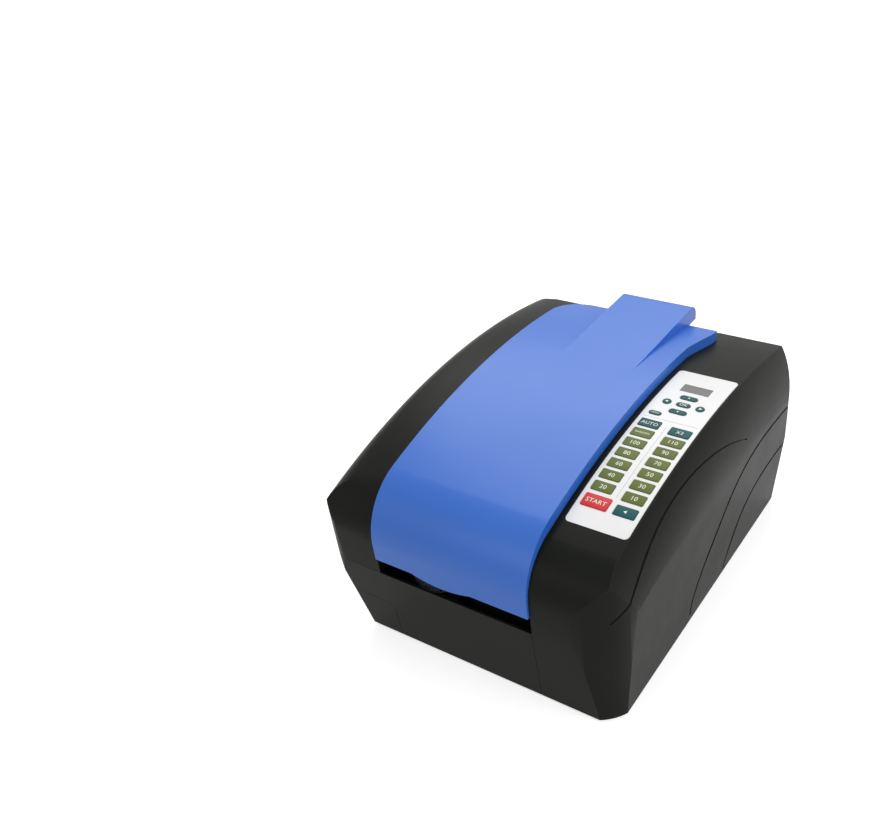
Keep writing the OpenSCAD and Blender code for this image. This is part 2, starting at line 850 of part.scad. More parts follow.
module thumb_tab() {
    tab_r = (pow(tab_w / 2, 2) + pow(tab_drop, 2)) / (2 * tab_drop);
    translate([tab_x, lid_front, slot_top]) rotate([-90, 0, 0]) linear_extrude(tab_t)
        intersection() {
            translate([0, tab_drop - tab_r]) circle(r = tab_r, $fn = arc_fn);
            translate([-tab_w / 2, -2]) square([tab_w, tab_drop + 3]);
        }
}

module lid() {
    color([0.12, 0.33, 0.86]) {
        difference() {
            union() {
                intersection() {
                    lid_bar(0);
                    lid_opening(0);
                }
                across(hood_left, hood_right) hood_profile(0);
            }
            intersection() {
                lid_bar(lid_wall);
                lid_opening(-lid_wall);
            }
            across(hood_left + lid_wall, hood_right - lid_wall) hood_profile(lid_wall);
            intersection() {
                profile_bar(skirt_depth, -20);
                block([-far, -far, 0], [far, lid_back + 1, far]);
            }
            block([-far, -far, 0], [far, 0, slot_top]);
            // way for the hinge ears
            block([hood_left + lid_wall, lid_back - lid_wall - 1, 0],
                  [hood_right - lid_wall, hood_y + hood_r - lid_wall, hood_rim_z + 3]);
        }
        thumb_tab();
        lid_lug(hood_left + lid_wall);
        lid_lug(hood_right - lid_wall - ear_t);
    }
}

module lid_hinge_pin() {
    color("silver")
        rod(hood_left + lid_wall + 0.3, hood_right - lid_wall - 0.3, hinge_y, hinge_z, hinge_pin_r);
}

module hinge_bracket() {
    color([0.6, 0.6, 0.62]) {
        block([hood_left + 14, frame_back + 4, shelf_z], [hood_right - 14, hinge_y + 3, shelf_z + 2]);
        for (x = [hood_left + 14, hood_right - 14 - ear_t]) {
            difference() {
                across(x, x + ear_t) {
                    translate([hinge_y, hinge_z]) circle(r = 2.4 * hinge_pin_r);
                    polygon([
                        [hinge_y - 2.4 * hinge_pin_r, hinge_z], [hinge_y + 2.4 * hinge_pin_r, hinge_z],
                        [hinge_y + 2, shelf_z + 1], [frame_back + 5, shelf_z + 1]
                    ]);
                }
                rod(x - 1, x + ear_t + 1, hinge_y, hinge_z, hinge_pin_r + 0.01);
            }
        }
    }
}

// ---- frame ----

module frame_outline() {
    polygon([
        [frame_front, floor_z], [frame_back, floor_z], [frame_back, frame_low_h - 25],
        [frame_back - 30, frame_low_h], [roll_y - 75, frame_low_h],
        [feed_y + 32, frame_h], [frame_front + 12, frame_h], [frame_front, frame_h - 12]
    ]);
}

module frame_plate(x0, x1) {
    difference() {
        across(x0, x1) frame_outline();
        for (s = [-1, 1]) {
            rod(x0 - 1, x1 + 1, roll_y + s * roller_reach, roller_z, shaft_r + 0.02);
        }
        rod(x0 - 1, x1 + 1, roll_y, guide_rod_z, shaft_r + 0.02);
        rod(x0 - 1, x1 + 1, feed_y, feed_z, feed_shaft_r + fit);
        rod(x0 - 1, x1 + 1, feed_y, pressure_z, pressure_shaft_r + fit);
        rod(x0 - 1, x1 + 1, pivot_y, pivot_z, pivot_r + fit);
        // lightening window beside the roll
        across(x0 - 1, x1 + 1) translate([roll_y - 35, 42]) square([70, 34]);
    }
}

module left_frame_plate() {
    color([0.62, 0.64, 0.66]) frame_plate(frame_left - plate_t, frame_left);
}

module right_frame_plate() {
    color([0.62, 0.64, 0.66]) frame_plate(frame_right, frame_right + plate_t);
}

module tie_rods() {
    ends = [[frame_front + 8, 16], [-18, 40], [feed_y + 32, frame_h - 12], [frame_back - 8, 55]];
    color("silver") for (p = ends) {
        rod(frame_left, frame_right, p[0], p[1], tie_r);
    }
}

// ---- roll cradle ----

module cradle_shafts() {
    color("silver") {
        for (s = [-1, 1]) {
            rod(frame_left - plate_t - 1, frame_right + plate_t + 1, roll_y + s * roller_reach, roller_z,
                shaft_r);
        }
        rod(frame_left - plate_t - 1, frame_right + plate_t + 1, roll_y, guide_rod_z, shaft_r);
    }
}

module cradle_roller(s) {
    color([0.85, 0.85, 0.82]) difference() {
        union() {
            rod(frame_left + 0.5, frame_right - 0.5, roll_y + s * roller_reach, roller_z, roller_r - 1);
            for (x = [frame_left + 0.5, frame_mid - 10, frame_right - 20.5]) {
                rod(x, x + 20, roll_y + s * roller_reach, roller_z, roller_r);
            }
        }
        rod(frame_left - 1, frame_right + 1, roll_y + s * roller_reach, roller_z, shaft_r + fit);
    }
}

module front_cradle_roller() cradle_roller(-1);
module rear_cradle_roller() cradle_roller(1);

// side is -1 for the left guide; its hub points away from the roll
module roll_guide(side) {
    x0 = side < 0 ? guide_x0 - guide_t : guide_x1;
    hub0 = side < 0 ? x0 - guide_hub_l : x0;
    roller_gap = roller_reach - roller_r - 3;
    color([0.15, 0.15, 0.16]) difference() {
        union() {
            across(x0, x0 + guide_t) {
                polygon([
                    [roll_y - roller_gap, floor_z + 1.5], [roll_y + roller_gap, floor_z + 1.5],
                    [roll_y + roller_gap, roller_z + roller_r + 2],
                    [roll_y + 70, roller_z + roller_r + 6], [roll_y + 70, guide_h - 12],
                    [roll_y + 58, guide_h], [roll_y - 58, guide_h],
                    [roll_y - 70, guide_h - 12], [roll_y - 70, roller_z + roller_r + 6],
                    [roll_y - roller_gap, roller_z + roller_r + 2]
                ]);
            }
            rod(hub0, hub0 + guide_hub_l + guide_t, roll_y, guide_rod_z, guide_hub_r);
        }
        rod(hub0 - 1, hub0 + guide_hub_l + guide_t + 1, roll_y, guide_rod_z, shaft_r + fit);
    }
}

module left_roll_guide() roll_guide(-1);
module right_roll_guide() roll_guide(1);

// ---- tape feed ----

function involute(a) = tan(a) * 180 / PI - a;
// Half angle of a tooth at radius r, thinned for running clearance
function tooth_half(r, n, rp) = let (rb = rp * cos(20), q = max(r, rb + 0.001))
    90 / n + involute(20) - involute(acos(rb / q)) - 0.09 / r * 180 / PI;

module gear_outline(n, phase) {
    rp = gear_module * n / 2;
    root = rp - 1.25 * gear_module;
    tip = rp + 0.95 * gear_module;
    radii = [root, rp - 0.6 * gear_module, rp, rp + 0.5 * gear_module, tip];
    polygon([for (k = [0:n - 1]) let (a = phase + k * 360 / n)
        each concat(
            [for (r = radii) r * [cos(a - tooth_half(r, n, rp)), sin(a - tooth_half(r, n, rp))]],
            [for (r = reversed(radii)) r * [cos(a + tooth_half(r, n, rp)), sin(a + tooth_half(r, n, rp))]]
        )]);
}

module gear(y, z, n, phase, bore) {
    across(gear_x, gear_x + gear_w) translate([y, z]) difference() {
        gear_outline(n, phase);
        circle(r = bore);
    }
}

module feed_roller() {
    color([0.12, 0.12, 0.12]) {
        rod(frame_left + 1, frame_right - 1, feed_y, feed_z, feed_r);
        rod(frame_left - plate_t - 2, gear_x + gear_w + 1, feed_y, feed_z, feed_shaft_r);
    }
}

module feed_gear() {
    color([0.85, 0.82, 0.72]) gear(feed_y, feed_z, gear_teeth, 90, feed_shaft_r + 0.01);
}

module motor_pinion() {
    color("goldenrod") gear(feed_y, pinion_z, pinion_teeth, 90 + 180 / pinion_teeth, 3);
    color("silver") rod(gear_x - 1, motor_x + 8, feed_y, pinion_z, 3);
}

module pressure_roller() {
    color([0.5, 0.5, 0.5]) {
        rod(frame_left + 1, frame_right - 1, feed_y, pressure_z, pressure_r);
        rod(frame_left - plate_t, frame_right + plate_t, feed_y, pressure_z, pressure_shaft_r);
    }
}

module feed_motor() {
    color([0.3, 0.3, 0.32]) difference() {
        union() {
            rod(motor_x + 3, motor_x + motor_l, feed_y, pinion_z, motor_r);
            rod(motor_x + motor_l, motor_x + motor_l + 3, feed_y, pinion_z, motor_r / 2);
            block([motor_x, feed_y - 30, pinion_z - 27], [motor_x + 3, feed_y + 30, pinion_z + motor_r]);
            for (s = [-1, 1]) {
                rod(frame_right + plate_t, motor_x, feed_y + s * 24, pinion_z - 22, 4);
            }
        }
        rod(motor_x - 1, motor_x + 9, feed_y, pinion_z, 3 + fit);
    }
}

// ---- cutter ----

module fixed_blade() {
    color([0.75, 0.76, 0.78]) difference() {
        block([frame_left, cut_y, cut_z], [frame_right, cut_y + blade_t, cut_z + blade_h]);
        // ground cutting edge
        translate([frame_left - 1, cut_y + 1, cut_z - 1]) rotate([45, 0, 0]) translate([0, 0, -1.42])
            cube([frame_right - frame_left + 2, 2, 1.42]);
    }
}

module moving_blade() {
    y1 = cut_y - blade_gap;
    color([0.75, 0.76, 0.78]) {
        across(frame_left + 2, frame_right - 2)
            polygon([[y1 - blade_t, blade_rest_z - 18], [y1, blade_rest_z - 18], [y1, blade_rest_z],
                     [y1 - blade_t, blade_rest_z - 2]]);
        translate([solenoid_x, y1 - blade_t / 2, floor_z + 14])
            cylinder(r = plunger_r, h = blade_rest_z - 17 - floor_z - 14);
        block([solenoid_x - plunger_r, y1 - blade_t / 2 - plunger_r, blade_rest_z - 22],
              [solenoid_x + plunger_r, y1 - blade_t, blade_rest_z - 8]);
    }
}

module cutter_solenoid() {
    y = cut_y - blade_gap - blade_t / 2;
    color([0.2, 0.2, 0.22]) difference() {
        block([solenoid_x - solenoid_w / 2, y - solenoid_w / 2, floor_z],
              [solenoid_x + solenoid_w / 2, y + solenoid_w / 2, floor_z + solenoid_h]);
        translate([solenoid_x, y, floor_z + 12]) cylinder(r = plunger_r + fit, h = solenoid_h);
    }
}

// ---- water ----

module water_tank() {
    well_x = bottle_x + bottle_r + 3;
    color([0.16, 0.17, 0.18]) difference() {
        block([tank_left, tank_front, floor_z], [tank_right, tank_back, tank_top]);
        block([tank_left + tank_wall, tank_front + tank_wall, floor_z + tank_wall],
              [well_x, tank_back - tank_wall, tank_top - tank_wall]);
        block([well_x - 1, tank_front + tank_wall, floor_z + tank_wall],
              [tank_right - tank_wall, tank_back - tank_wall, tank_top + 1]);
        translate([bottle_x, bottle_y, tank_top - tank_wall - 1])
            cylinder(r = cap_r + 1.5, h = tank_wall + 2);
    }
}

module water_brushes() {
    color([0.5, 0.4, 0.28]) for (y = [bottle_y - 14, bottle_y + 14]) {
        block([frame_left + 8, y - brush_t / 2, floor_z + 30],
              [tank_right - tank_wall, y + brush_t / 2, brush_top]);
    }
}

module bottle_outline(r, h, i) {
    // half outline: neck, shoulder and body, drawn in by i
    z = tank_top + 0.3;
    polygon([
        [0, z - 30], [neck_r - i, z - 30], [neck_r - i, z + i], [r - 6 - i, z + i], [r - i, z + 6 + i],
        [r - i, z + h - 8 - i], [r - 8 - i, z + h - i], [0, z + h - i]
    ]);
}

module water_bottle() {
    color([0.75, 0.85, 0.95, 0.5]) translate([bottle_x, bottle_y, 0]) rotate_extrude() difference() {
        bottle_outline(bottle_r, bottle_h, 0);
        bottle_outline(bottle_r, bottle_h, 1.6);
    }
}

module bottle_cap() {
    z = tank_top + 0.3 - 30;
    color([0.85, 0.1, 0.1]) translate([bottle_x, bottle_y, z - 3]) difference() {
        cylinder(r = cap_r, h = cap_h);
        translate([0, 0, 3]) cylinder(r = neck_r + 0.01, h = cap_h);
        translate([0, 0, -1]) cylinder(r = 3, h = 5);
    }
}

module weight_plate() {
    bottom = brush_top + 0.4;
    color([0.4, 0.42, 0.44]) {
        across(guide_x0 + 1, guide_x1 - 1) {
            translate([pivot_y, pivot_z]) circle(r = 2.2 * pivot_r);
            polygon([
                [pivot_y - 1.5 * pivot_r, pivot_z - 1.5 * pivot_r], [pivot_y + 1.5 * pivot_r, pivot_z],
                [pivot_y - 1.5 * pivot_r, pivot_z + 1.5 * pivot_r],
                [tank_back - 8, bottom + weight_t], [tank_front + 8, bottom + weight_t],
                [tank_front, bottom + weight_t - 3], [tank_front, bottom + 1], [tank_front + 2, bottom],
                [tank_back - 10, bottom]
            ]);
        }
        rod(frame_left - plate_t, frame_right + plate_t, pivot_y, pivot_z, pivot_r);
    }
}

// ---- keypad ----

module rounded_rect(w, l, r) {
    square([w - 2 * r, l], center = true);
    square([w, l - 2 * r], center = true);
    for (sx = [-1, 1]) {
        for (sy = [-1, 1]) {
            translate([sx * (w / 2 - r), sy * (l / 2 - r)]) circle(r = r, $fn = 32);
        }
    }
}

module pad_outline(c) {
    translate([pad_x, (pad_front + pad_back) / 2])
        rounded_rect(pad_w + 2 * c, pad_back - pad_front + 2 * c, pad_corner_r + c);
}

// A curved sheet between two depths under the crown's surface
module crown_sheet(deep, shallow, c) {
    intersection() {
        translate([0, 0, body_h / 2]) linear_extrude(far) pad_outline(c);
        translate([0, crest_y, arc_z]) rotate([0, 90, 0]) difference() {
            cylinder(r = crown_r - shallow, h = right_side + 10, $fn = arc_fn);
            translate([0, 0, -1]) cylinder(r = crown_r - deep, h = right_side + 12, $fn = arc_fn);
        }
    }
}

module pad_seat() {
    crown_sheet(seat_depth, -5, seat_gap);
}

module key_prism(k, c, low, high) {
    on_crown(pad_x + k[1], k[2]) translate([0, 0, low]) linear_extrude(high - low)
        rounded_rect(k[3] + 2 * c, k[4] + 2 * c, k[5] + c);
}

module keypad_overlay() {
    color([0.95, 0.95, 0.95]) difference() {
        crown_sheet(overlay_bottom, overlay_sink, 0);
        for (k = KEYS) {
            key_prism(k, key_gap, -seat_depth - 1, 1);
        }
        on_crown(pad_x, display_y) linear_extrude(6, center = true)
            square([display_w + 0.2, display_l + 0.2], center = true);
    }
}

module keypad_circuit() {
    color([0.7, 0.6, 0.3]) crown_sheet(seat_depth, overlay_bottom + 0.02, 0);
}

module display_window() {
    color([0.33, 0.35, 0.35]) on_crown(pad_x, display_y) translate([0, 0, -overlay_bottom + 0.06])
        linear_extrude(overlay_bottom - overlay_sink - 0.06) square([display_w, display_l], center = true);
}

module keypad_key(k) {
    color(k[0] == "key_start" ? [0.85, 0.06, 0.06] : [0.4, 0.48, 0.14])
        key_prism(k, 0, -overlay_bottom + key_travel + 0.2, -overlay_sink + key_proud);
}

// ---- electrics ----

module control_board() {
    color([0.05, 0.35, 0.15]) {
        block([90, -15, floor_z + 8], [148, 105, floor_z + 9.6]);
        for (x = [95, 143]) {
            for (y = [-10, 100]) {
                translate([x, y, floor_z]) cylinder(r = 3, h = 8.5);
            }
        }
        block([98, 0, floor_z + 9], [118, 30, floor_z + 26]);
        block([124, 8, floor_z + 9], [142, 22, floor_z + 16]);
        block([100, 50, floor_z + 9], [138, 66, floor_z + 13]);
        for (x = [102, 116, 130]) {
            translate([x, 84, floor_z + 9]) cylinder(r = 5, h = 14);
        }
    }
}

module power_supply() {
    color([0.7, 0.7, 0.72]) block([80, 118, floor_z], [136, 172, floor_z + 42]);
}

module power_socket() {
    color([0.04, 0.04, 0.04]) on_rear(socket_x, socket_up) difference() {
        union() {
            block([-socket_w / 2, -socket_depth, -socket_h / 2], [socket_w / 2, 0, socket_h / 2]);
            block([-socket_w / 2 - 3, 0, -socket_h / 2 - 3], [socket_w / 2 + 3, 2, socket_h / 2 + 3]);
        }
        // socket for a mains lead
        block([-socket_w / 2 + 4, -17, -9.5], [-socket_w / 2 + 28, 3, 9.5]);
        // room for the rocker
        block([rocker_x - 0.6, -14, -rocker_h / 2 - 0.5], [rocker_x + rocker_w + 0.6, 3, rocker_h / 2 + 0.5]);
    }
    // pivot pin of the rocker
    color("silver") on_rear(socket_x, socket_up)
        rod(rocker_x - 1, rocker_x + rocker_w + 1, -rocker_pin_depth, 0, rocker_pin_r);
    color("silver") on_rear(socket_x, socket_up) for (p = [[-7, -3], [0, 2.5], [7, -3]]) {
        block([-socket_w / 2 + 16 + p[0] - 1, -18, p[1] - 2], [-socket_w / 2 + 16 + p[0] + 1, -5, p[1] + 2]);
    }
}

module power_rocker() {
    color([0.6, 0.05, 0.05]) on_rear(socket_x, socket_up)
        translate([rocker_x, -rocker_pin_depth, 0]) rotate([rocker_tilt, 0, 0])
            rotate([90, 0, 90]) linear_extrude(rocker_w) difference() {
                polygon([
                    [-7, -5], [3, -rocker_h / 2 + 0.9], [6.2, -rocker_h / 2 + 0.9], [4.8, 0],
                    [6.2, rocker_h / 2 - 0.9], [3, rocker_h / 2 - 0.9], [-7, 5]
                ]);
                circle(r = rocker_pin_r + fit);
            }
}

module cover_screws() {
    color("silver") for (sx = [-1, 1]) {
        for (y = [screw_front_y, screw_back_y]) {
            translate([sx * screw_x, y, foot_h + 0.3]) {
                cylinder(r = screw_head_r, h = 1.2);
                cylinder(r = screw_r, h = 18);
            }
        }
    }
}

translate(origin) base_pan();
translate(origin) rubber_feet();
translate(origin) left_cover();
translate(origin) right_cover();
translate(origin) front_panel();
translate(origin) rear_panel();
translate(origin) lid();
translate(origin) lid_hinge_pin();
translate(origin) hinge_bracket();
translate(origin) left_frame_plate();
translate(origin) right_frame_plate();
translate(origin) tie_rods();
translate(origin) cradle_shafts();
translate(origin) front_cradle_roller();
translate(origin) rear_cradle_roller();
translate(origin) left_roll_guide();
translate(origin) right_roll_guide();
translate(origin) feed_roller();
translate(origin) feed_gear();
translate(origin) motor_pinion();
translate(origin) pressure_roller();
translate(origin) feed_motor();
translate(origin) fixed_blade();
translate(origin) moving_blade();
translate(origin) cutter_solenoid();
translate(origin) water_tank();
translate(origin) water_brushes();
translate(origin) water_bottle();
translate(origin) bottle_cap();
translate(origin) weight_plate();
translate(origin) keypad_overlay();
translate(origin) keypad_circuit();
translate(origin) display_window();
translate(origin) control_board();
translate(origin) power_supply();
translate(origin) power_socket();
translate(origin) power_rocker();
translate(origin) cover_screws();
for (k = KEYS) {
    translate(origin) keypad_key(k);
}
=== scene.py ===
# Looks, light and camera for the gummed tape dispenser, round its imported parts.
# Metres throughout: X runs across the machine, Y from the tape exit to the back, Z up.
import json
import math
import random

import bmesh
import bpy
from mathutils import Matrix, Vector

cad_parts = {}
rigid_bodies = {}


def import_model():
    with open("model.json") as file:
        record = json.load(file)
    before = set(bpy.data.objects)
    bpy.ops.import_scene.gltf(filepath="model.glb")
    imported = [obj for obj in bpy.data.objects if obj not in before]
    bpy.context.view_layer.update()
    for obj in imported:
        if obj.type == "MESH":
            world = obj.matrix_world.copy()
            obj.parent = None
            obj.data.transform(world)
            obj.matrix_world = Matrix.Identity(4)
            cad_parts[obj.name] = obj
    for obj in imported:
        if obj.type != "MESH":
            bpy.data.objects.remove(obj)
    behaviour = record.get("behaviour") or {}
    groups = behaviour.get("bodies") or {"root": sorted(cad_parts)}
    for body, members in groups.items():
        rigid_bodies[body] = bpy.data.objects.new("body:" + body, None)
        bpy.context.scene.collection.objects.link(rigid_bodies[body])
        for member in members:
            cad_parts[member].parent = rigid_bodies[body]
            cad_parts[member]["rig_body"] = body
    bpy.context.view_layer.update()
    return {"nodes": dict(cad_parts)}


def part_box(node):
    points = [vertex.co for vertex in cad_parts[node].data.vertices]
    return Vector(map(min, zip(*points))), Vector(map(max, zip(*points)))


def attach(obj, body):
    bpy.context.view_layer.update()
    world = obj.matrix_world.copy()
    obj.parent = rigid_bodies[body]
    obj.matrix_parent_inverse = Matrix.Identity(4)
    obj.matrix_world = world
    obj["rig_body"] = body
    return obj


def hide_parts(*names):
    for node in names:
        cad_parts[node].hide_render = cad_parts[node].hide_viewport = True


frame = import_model()
print("frame loaded")

mm = 0.001
crown = {"radius": 0.820, "crestY": 0.0335, "top": 0.2315}  # the long arc of the housing's top
meshing = {
    "weld": 0.02 * mm, "evenWeight": 60,
    "flatTo": 0.05, "roundFrom": 20, "sharpFrom": 38,  # angles between faces, in degrees
}


def bodyOf(node):
    return frame["nodes"][node]["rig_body"]


# Angle of the crown's surface at y, about X
def crownTilt(y):
    return -math.asin((y - crown["crestY"]) / crown["radius"])


# Matrix that stands a flat thing on the crown at x and y, its Z along the surface's normal
def onCrown(x, y, lift):
    centre = Matrix.Translation((x, crown["crestY"], crown["top"] - crown["radius"]))
    turn = Matrix.Rotation(crownTilt(y), 4, "X")
    return centre @ turn @ Matrix.Translation((0, 0, crown["radius"] + lift))


# Turns a bmesh into an object with its materials
def makeObject(name, shape, materials):
    mesh = bpy.data.meshes.new(name)
    shape.to_mesh(mesh)
    shape.free()
    for material in materials:
        mesh.materials.append(material)
    made = bpy.data.objects.new(name, mesh)
    bpy.context.scene.collection.objects.link(made)
    return made


# Turns a bmesh into a smoothed piece that rides on a body
def addPiece(name, shape, materials, body, standsFor=(), even=False):
    piece = makeObject(name, shape, materials)
    for polygon in piece.data.polygons:
        polygon.use_smooth = True
    piece.data.set_sharp_from_angle(angle=math.radians(meshing["sharpFrom"]))
    if even:
        weigh = piece.modifiers.new("even", "WEIGHTED_NORMAL")
        weigh.keep_sharp = True
        weigh.weight = meshing["evenWeight"]
    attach(piece, body)
    if standsFor:
        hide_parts(*standsFor)


# A merged copy of a CAD node, its flat faces whole again
def nodeShape(node):
    shape = bmesh.new()
    shape.from_mesh(frame["nodes"][node].data)
    bmesh.ops.remove_doubles(shape, verts=shape.verts, dist=meshing["weld"])
    bmesh.ops.dissolve_limit(shape, angle_limit=math.radians(meshing["flatTo"]),
                             verts=shape.verts, edges=shape.edges)
    return shape


def bevelEdges(shape, edges, width, steps):
    bmesh.ops.bevel(shape, geom=edges, offset=width, offset_type="OFFSET", segments=steps,
                    profile=0.5, affect="EDGES", clamp_overlap=True, material=-1)


# Rounds the edges that are sharper than an angle in degrees, or those of them that are chosen.
# The width is the most there can be, because the clamp holds it to what the shortest edges leave
def roundEdges(shape, width, steps, sharper=meshing["roundFrom"], choose=None):
    edges = [
        e for e in shape.edges
        if len(e.link_faces) == 2
        and e.calc_face_angle() > math.radians(sharper)
        and (choose is None or choose(e))
    ]
    bevelEdges(shape, edges, width, steps)


# A box round the origin
def boxShape(size):
    shape = bmesh.new()
    bmesh.ops.create_cube(shape, size=1)
    bmesh.ops.scale(shape, verts=shape.verts, vec=size)
    return shape


# Adds another bmesh to a shape, set in place, with one material if it is given
def joinInto(shape, other, place, materialIndex=None):
    bmesh.ops.transform(other, verts=other.verts, matrix=place)
    if materialIndex is not None:
        for face in other.faces:
            face.material_index = materialIndex
    mesh = bpy.data.meshes.new("part")
    other.to_mesh(mesh)
    other.free()
    shape.from_mesh(mesh)
    bpy.data.meshes.remove(mesh)


def startFinish(name):
    material = bpy.data.materials.new(name)
    material.use_nodes = True
    nodes = material.node_tree.nodes
    return material, nodes, material.node_tree.links, nodes["Principled BSDF"]


# Noises that all finishes share, and the values between which most of a noise lies
noises = {
    "cloud": {"detail": 3, "roughness": 0.5},
    "grain": {"detail": 2, "roughness": 0.5},
    "gloss": {"scale": 14, "detail": 6, "roughness": 0.6},
    "patches": {"scale": 90, "detail": 4, "roughness": 0.5},
    "drawn": {"scale": 1, "detail": 5, "roughness": 0.6},
    "stains": {"scale": 22, "detail": 4, "roughness": 0.5},
}
noiseBand = (0.3, 0.7)
stainBand = (0.32, 0.68)


def noiseOf(nodes, links, place, scale, detail, roughness):
    noise = nodes.new("ShaderNodeTexNoise")
    noise.inputs["Scale"].default_value = scale
    noise.inputs["Detail"].default_value = detail
    noise.inputs["Roughness"].default_value = roughness
    links.new(place, noise.inputs["Vector"])
    return noise.outputs["Fac"]


# Blends from one colour to the other over a band of a value
def ramp(nodes, links, value, band, colours):
    node = nodes.new("ShaderNodeValToRGB")
    links.new(value, node.inputs["Fac"])
    for element, position, colour in zip(node.color_ramp.elements, band, colours):
        element.position = position
        element.color = (*colour, 1)
    return node.outputs["Color"]


# Maps a value from one range onto another
def spread(nodes, links, value, fromRange, toRange):
    node = nodes.new("ShaderNodeMapRange")
    node.inputs["From Min"].default_value, node.inputs["From Max"].default_value = fromRange
    node.inputs["To Min"].default_value, node.inputs["To Max"].default_value = toRange
    links.new(value, node.inputs["Value"])
    return node.outputs["Result"]


def mathOf(nodes, links, operation, *values):
    node = nodes.new("ShaderNodeMath")
    node.operation = operation
    for socket, value in zip(node.inputs, values):
        if isinstance(value, (int, float)):
            socket.default_value = value
        else:
            links.new(value, socket)
    return node.outputs["Value"]


def relief(nodes, links, height, depth):
    bump = nodes.new("ShaderNodeBump")
    bump.inputs["Distance"].default_value = depth
    bump.inputs["Strength"].default_value = 1
    links.new(height, bump.inputs["Height"])
    return bump.outputs["Normal"]


rubbed = {"width": 0.6 * mm, "samples": 6, "flat": 0.995, "edge": 0.90}


# 1 along edges and 0 on flat faces, by how far a rounded normal leans from the face's own
def edgeMask(nodes, links):
    rounded = nodes.new("ShaderNodeBevel")
    rounded.samples = rubbed["samples"]
    rounded.inputs["Radius"].default_value = rubbed["width"]
    surface = nodes.new("ShaderNodeNewGeometry")
    dot = nodes.new("ShaderNodeVectorMath")
    dot.operation = "DOT_PRODUCT"
    links.new(rounded.outputs["Normal"], dot.inputs[0])
    links.new(surface.outputs["Normal"], dot.inputs[1])
    return spread(nodes, links, dot.outputs["Value"], (rubbed["flat"], rubbed["edge"]), (0, 1))


usualLook = {
    "worn": None, "specular": 0.5, "coat": 0, "coatRough": 0.1,
    "clear": 0, "soft": 0, "softDepth": 2 * mm,
}


# Moulded plastic or rubber: clouded colour, fine grain, uneven gloss and rubbed edges
def moulded(name, ownLook):
    look = {**usualLook, **ownLook}
    material, nodes, links, shader = startFinish(name)
    place = nodes.new("ShaderNodeTexCoord").outputs["Object"]
    cloud = noiseOf(nodes, links, place, look["cloudScale"], **noises["cloud"])
    base = ramp(nodes, links, cloud, noiseBand, (look["dark"], look["light"]))
    if look["worn"]:
        mask = edgeMask(nodes, links)
        patches = noiseOf(nodes, links, place, **noises["patches"])
        blend = nodes.new("ShaderNodeMix")
        blend.data_type = "RGBA"
        blend.inputs["B"].default_value = (*look["worn"], 1)
        links.new(mathOf(nodes, links, "MULTIPLY", mask, patches), blend.inputs["Factor"])
        links.new(base, blend.inputs["A"])
        base = blend.outputs["Result"]
    links.new(base, shader.inputs["Base Color"])
    streaks = noiseOf(nodes, links, place, **noises["gloss"])
    links.new(spread(nodes, links, streaks, noiseBand, look["rough"]), shader.inputs["Roughness"])
    grain = noiseOf(nodes, links, place, look["grainScale"], **noises["grain"])
    links.new(relief(nodes, links, grain, look["grain"]), shader.inputs["Normal"])
    shader.inputs["Specular IOR Level"].default_value = look["specular"]
    shader.inputs["Coat Weight"].default_value = look["coat"]
    shader.inputs["Coat Roughness"].default_value = look["coatRough"]
    shader.inputs["Transmission Weight"].default_value = look["clear"]
    shader.inputs["Subsurface Weight"].default_value = look["soft"]
    shader.inputs["Subsurface Scale"].default_value = look["softDepth"]
    return material


# Bare or plated metal: drawn streaks along one axis, faint stains and fine scratches
def machined(name, look):
    material, nodes, links, shader = startFinish(name)
    place = nodes.new("ShaderNodeTexCoord").outputs["Object"]
    stretch = nodes.new("ShaderNodeMapping")
    stretch.inputs["Scale"].default_value = look["streaks"]
    links.new(place, stretch.inputs["Vector"])
    drawn = noiseOf(nodes, links, stretch.outputs["Vector"], **noises["drawn"])
    stains = noiseOf(nodes, links, place, **noises["stains"])
    base = ramp(nodes, links, stains, stainBand, (look["dark"], look["light"]))
    links.new(base, shader.inputs["Base Color"])
    links.new(spread(nodes, links, drawn, noiseBand, look["rough"]), shader.inputs["Roughness"])
    links.new(relief(nodes, links, drawn, look["scratch"]), shader.inputs["Normal"])
    shader.inputs["Metallic"].default_value = 1
    return material


